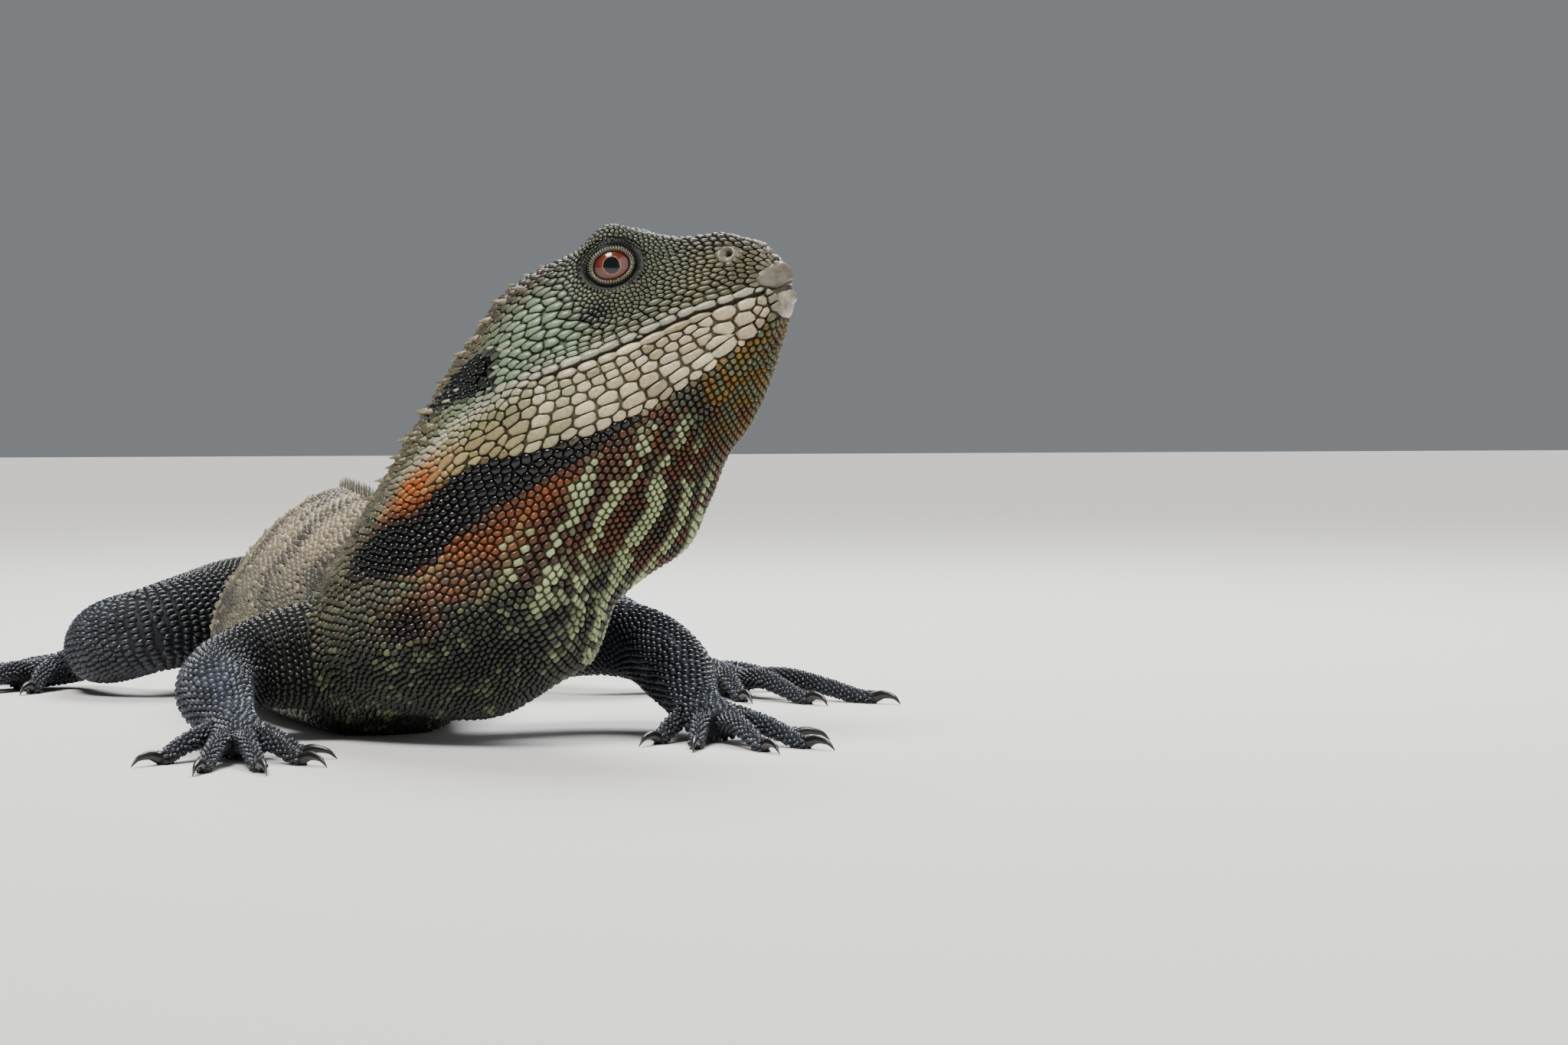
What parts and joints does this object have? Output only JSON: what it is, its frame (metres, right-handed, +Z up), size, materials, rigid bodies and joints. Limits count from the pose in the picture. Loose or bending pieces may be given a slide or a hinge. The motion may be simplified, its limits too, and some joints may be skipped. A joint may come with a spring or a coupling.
{
  "type": "water dragon",
  "caption": "Life-size still model of an adult male water dragon lying on its belly with its head raised and turned, tail stretched out behind.",
  "frame": {"origin": "middle of the animal's box, on the floor it lies on", "axes": "+X to the animal's left, +Y towards the tip of the tail, +Z up"},
  "size_m": [0.276, 0.758, 0.1008],
  "materials": {
    "head_skin": "dry granular scales, satin on the jaw plates",
    "neck_skin": "small overlapping scales with a satin sheen",
    "torso_skin": "keeled dry scales",
    "tail_skin": "keeled dry scales in rings",
    "limb_skin": "keeled scales with a satin sheen",
    "claw": "glossy horn",
    "eye": "wet, mirror smooth"
  },
  "bodies": {
    "root": {"head": "head_skin", "neck": "neck_skin", "torso": "torso_skin", "tail_1": "tail_skin", "tail_2": "tail_skin", "tail_3": "tail_skin", "tail_4": "tail_skin", "eye_right": "eye", "eye_left": "eye", "upper_arm_right": "limb_skin", "forearm_right": "limb_skin", "hand_right": "limb_skin", "claw_hand_right_1": "claw", "claw_hand_right_2": "claw", "claw_hand_right_3": "claw", "claw_hand_right_4": "claw", "claw_hand_right_5": "claw", "thigh_right": "limb_skin", "shank_right": "limb_skin", "foot_right": "limb_skin", "claw_foot_right_1": "claw", "claw_foot_right_2": "claw", "claw_foot_right_3": "claw", "claw_foot_right_4": "claw", "claw_foot_right_5": "claw", "upper_arm_left": "limb_skin", "forearm_left": "limb_skin", "hand_left": "limb_skin", "claw_hand_left_1": "claw", "claw_hand_left_2": "claw", "claw_hand_left_3": "claw", "claw_hand_left_4": "claw", "claw_hand_left_5": "claw", "thigh_left": "limb_skin", "shank_left": "limb_skin", "foot_left": "limb_skin", "claw_foot_left_1": "claw", "claw_foot_left_2": "claw", "claw_foot_left_3": "claw", "claw_foot_left_4": "claw", "claw_foot_left_5": "claw"}
  },
  "joints": []
}
